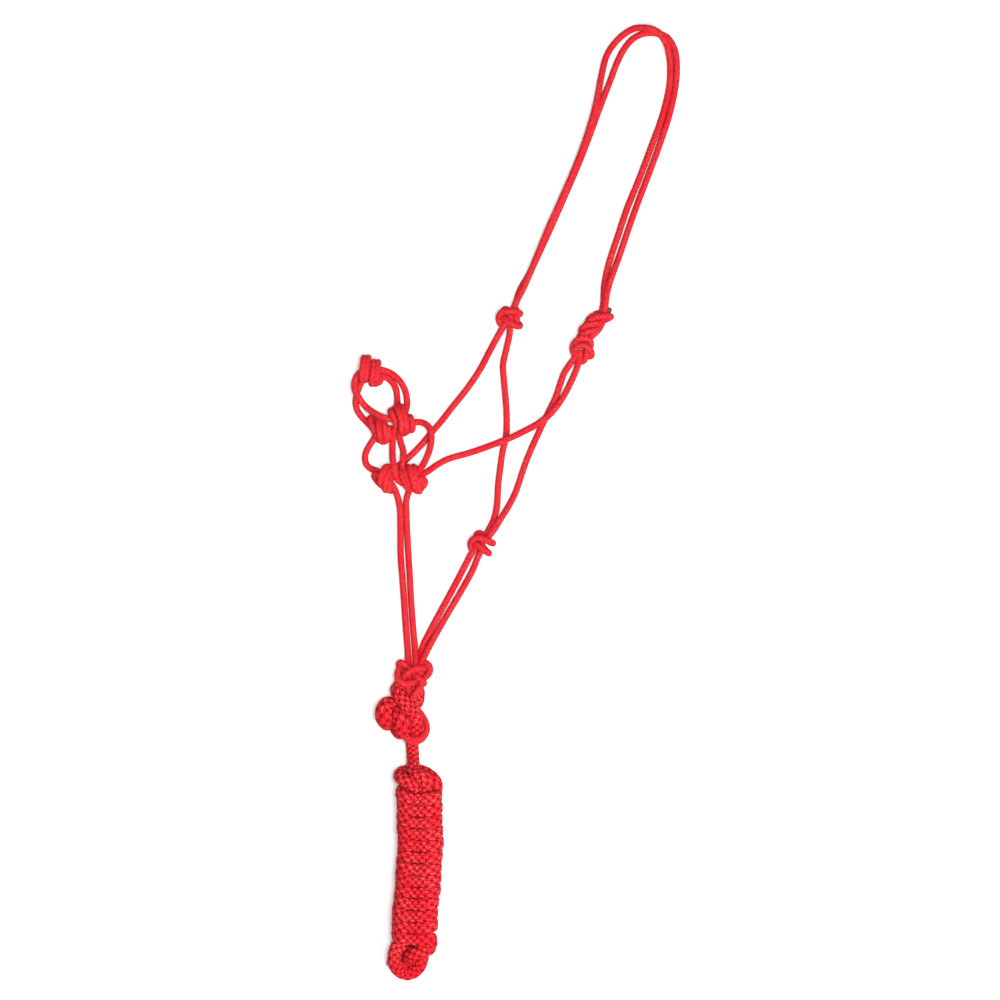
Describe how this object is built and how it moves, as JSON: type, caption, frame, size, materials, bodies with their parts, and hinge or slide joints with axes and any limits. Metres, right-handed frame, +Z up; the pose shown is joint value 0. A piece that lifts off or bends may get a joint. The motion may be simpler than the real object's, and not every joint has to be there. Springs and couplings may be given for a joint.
{
  "type": "rope halter with lead rope",
  "caption": "Knotted rope horse halter laid flat, with doubled crown, knotted noseband, cheek and throat strands, and a lead rope tied in below and made up into a hank.",
  "frame": {"origin": "on the surface that the halter lies on, under the middle of its whole outline", "axes": "+Z up from the surface; +Y from the hank towards the poll end of the crown; +X from the noseband towards the cheeks"},
  "size_m": [0.3479, 1.0114, 0.036],
  "materials": {
    "halter_cord": "fine round braid, soft sheen",
    "lead_rope": "solid braid with oval stitches, soft sheen",
    "sealed_end": "melted and smoothed cord end"
  },
  "bodies": {
    "cheeks": {"left_cheek_knot": "halter_cord", "tie_hitch": "halter_cord", "tie_loop_knot": "halter_cord", "throat_knot": "halter_cord", "left_side_knot": "halter_cord", "right_side_knot": "halter_cord", "left_cheekpiece": "halter_cord", "right_cheekpiece": "halter_cord", "left_throatlatch": "halter_cord", "right_throatlatch": "halter_cord", "crown_end_a": "sealed_end", "crown_end_b": "sealed_end"},
    "crown": {"crown_strand_a": "halter_cord", "crown_strand_b": "halter_cord"},
    "nose_sides": {"nose_knot_left": "halter_cord", "nose_knot_right": "halter_cord", "nose_side_left": "halter_cord", "nose_middle_a": "halter_cord", "nose_middle_b": "halter_cord", "nose_side_right": "halter_cord"},
    "nose_front": {"nose_knot_centre": "halter_cord", "nose_ring_low": "halter_cord", "nose_ring_left": "halter_cord", "nose_ring_outer": "halter_cord", "nose_ring_inner": "halter_cord"},
    "jaw": {"chin_strand_left": "halter_cord", "chin_strand_right": "halter_cord", "jaw_strand_left": "halter_cord", "jaw_strand_right": "halter_cord", "fiador_knot": "halter_cord", "lead_loop": "halter_cord", "lead_knot": "lead_rope"},
    "lead": {"lead_neck": "lead_rope", "hank_hitch": "lead_rope", "hank_wraps": "lead_rope", "hank_eye": "lead_rope", "lead_end": "lead_rope"}
  },
  "joints": [
    {"name": "crown_fold", "type": "hinge", "parent": "cheeks", "child": "crown", "pos_m": [-0.005, 0.197, 0.0103], "axis": [0.9978, -0.0657, 0], "range_deg": [0, 150]},
    {"name": "noseband_fold", "type": "hinge", "parent": "cheeks", "child": "nose_sides", "pos_m": [-0.1235, 0.025, 0.01], "axis": [1, 0, 0], "range_deg": [0, 75]},
    {"name": "nose_front_fold", "type": "hinge", "parent": "nose_sides", "child": "nose_front", "pos_m": [-0.133, 0.0815, 0.0108], "axis": [0.9138, 0.4061, 0], "range_deg": [0, 60]},
    {"name": "jaw_fold", "type": "hinge", "parent": "cheeks", "child": "jaw", "pos_m": [-0.0805, -0.02875, 0.0088], "axis": [-0.8244, 0.5661, 0], "range_deg": [0, 75]},
    {"name": "lead_swing", "type": "hinge", "parent": "jaw", "child": "lead", "pos_m": [-0.109, -0.25, 0.006], "axis": [0, 0, 1], "range_deg": [-30, 30]}
  ]
}
